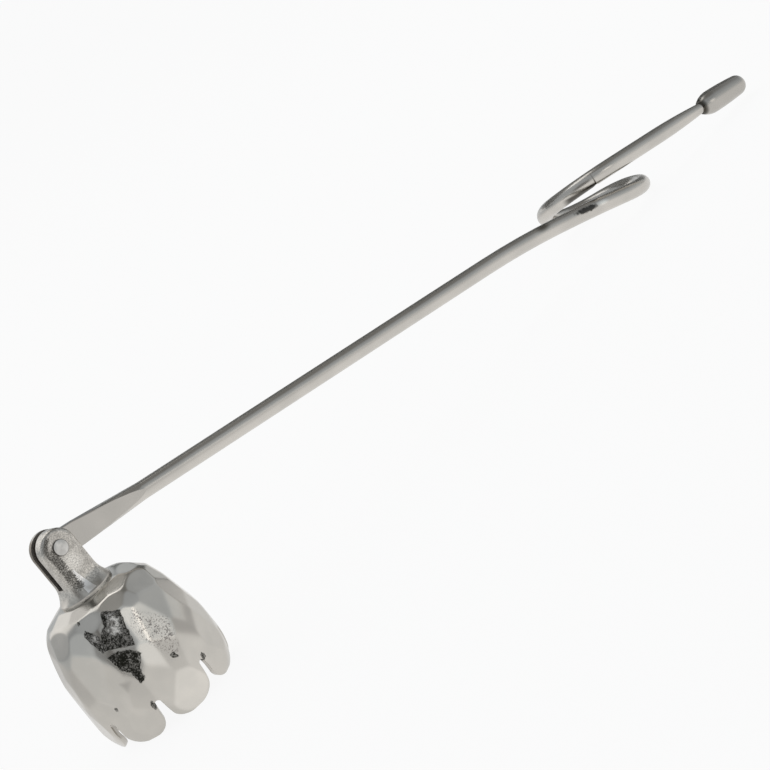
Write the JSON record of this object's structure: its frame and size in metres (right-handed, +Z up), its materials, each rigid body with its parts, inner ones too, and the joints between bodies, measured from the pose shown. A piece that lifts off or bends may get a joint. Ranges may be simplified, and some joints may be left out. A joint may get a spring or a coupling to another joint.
{
  "type": "candle snuffer",
  "caption": "Hinged candle snuffer: a hammered, petalled metal bell swings in a riveted yoke on a long round handle with a finger loop and a bud finial.",
  "frame": {"origin": "middle of the bell's mouth, on the table that the petal tips and the handle's turn stand on", "axes": "+Z up along the bell's axis, +X along the handle towards the bud, +Y towards the side the finger loop turns to"},
  "size_m": [0.2995, 0.0543, 0.0569],
  "materials": {
    "hammered_plate": "bright plate over hand-hammered facets",
    "cast_plate": "bright plate over a rough casting, dark in the fork",
    "rivet_steel": "bright, filed head",
    "bright_bar": "bright plate over smooth bar"
  },
  "bodies": {
    "handle": {"handle_rod": "bright_bar", "finial_stem": "bright_bar", "finial_bud": "bright_bar"},
    "bell": {"bell": "hammered_plate", "yoke": "cast_plate", "hinge_rivet": "rivet_steel"}
  },
  "joints": [
    {"name": "bell_swing", "type": "hinge", "parent": "handle", "child": "bell", "pos_m": [0, 0, 0.0517], "axis": [0, 1, 0], "range_deg": [-30, 230]}
  ]
}
